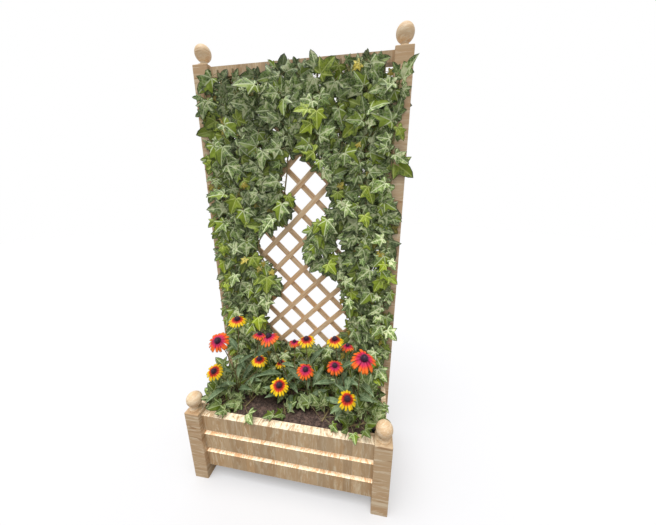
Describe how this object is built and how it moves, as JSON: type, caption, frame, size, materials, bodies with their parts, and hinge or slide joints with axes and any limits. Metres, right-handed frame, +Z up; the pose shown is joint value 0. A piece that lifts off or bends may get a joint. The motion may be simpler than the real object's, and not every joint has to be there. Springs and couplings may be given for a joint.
{
  "type": "planter with trellis",
  "caption": "Rectangular timber planter box on corner posts whose tall rear posts carry a diagonal lattice trellis, planted with climbing ivy and cone flowers.",
  "frame": {"origin": "on the ground, under the middle of the box formed by the four posts", "axes": "+X along the front of the box to the right, +Y from the front to the trellis at the back, +Z up"},
  "size_m": [0.8312, 0.396, 1.765],
  "materials": {
    "board_timber": "planed softwood, streaked grain",
    "flower_cone": "dark purple domed centre",
    "flower_leaf": "matt grey-green leaf",
    "flower_stem": "thin green-brown stem",
    "hidden_timber": "sawn softwood",
    "ivy_olive": "waxy leaf, olive green",
    "ivy_stem": "woody green-brown stem",
    "ivy_variegated": "waxy leaf, green with pale veins and patches",
    "ivy_yellow": "young or fading leaf, ochre",
    "ivy_young": "small dark green leaf",
    "liner_plastic": "black planting liner",
    "petal_pink_orange": "petals magenta at the centre, orange at the tips",
    "petal_red_yellow": "petals red at the centre, yellow at the tips",
    "post_timber": "planed softwood, oiled, grain along the post",
    "screw_steel": "zinc plated",
    "soil": null,
    "trellis_timber": "planed softwood, a little weathered",
    "turned_timber": "turned softwood, pale"
  },
  "bodies": {
    "root": {"back_board_lower": "board_timber", "back_board_middle": "board_timber", "back_board_upper": "board_timber", "batten_screws": "screw_steel", "bearer_back": "hidden_timber", "bearer_front": "hidden_timber", "bearer_screws": "screw_steel", "end_battens": "hidden_timber", "finial_front_left": "turned_timber", "finial_front_right": "turned_timber", "finial_rear_left": "turned_timber", "finial_rear_right": "turned_timber", "floor_slats": "hidden_timber", "flower_cones": "flower_cone", "flower_lance_leaves": "flower_leaf", "flower_petals_pink_orange": "petal_pink_orange", "flower_petals_red_yellow": "petal_red_yellow", "flower_stems": "flower_stem", "front_board_lower": "board_timber", "front_board_middle": "board_timber", "front_board_upper": "board_timber", "ivy_climbing_stems": "ivy_stem", "ivy_ground_leaves": "ivy_variegated", "ivy_leaves_olive": "ivy_olive", "ivy_leaves_variegated": "ivy_variegated", "ivy_leaves_yellow": "ivy_yellow", "ivy_leaves_young": "ivy_young", "ivy_runners": "ivy_stem", "left_board_lower": "board_timber", "left_board_middle": "board_timber", "left_board_upper": "board_timber", "planting_liner": "liner_plastic", "post_front_left": "post_timber", "post_front_right": "post_timber", "post_rear_left": "post_timber", "post_rear_right": "post_timber", "potting_soil": "soil", "rail_dowels": "trellis_timber", "right_board_lower": "board_timber", "right_board_middle": "board_timber", "right_board_upper": "board_timber", "side_battens": "hidden_timber", "trellis_bottom_rail": "trellis_timber", "trellis_front_slats": "trellis_timber", "trellis_rear_slats": "trellis_timber", "trellis_top_rail": "trellis_timber"}
  },
  "joints": []
}
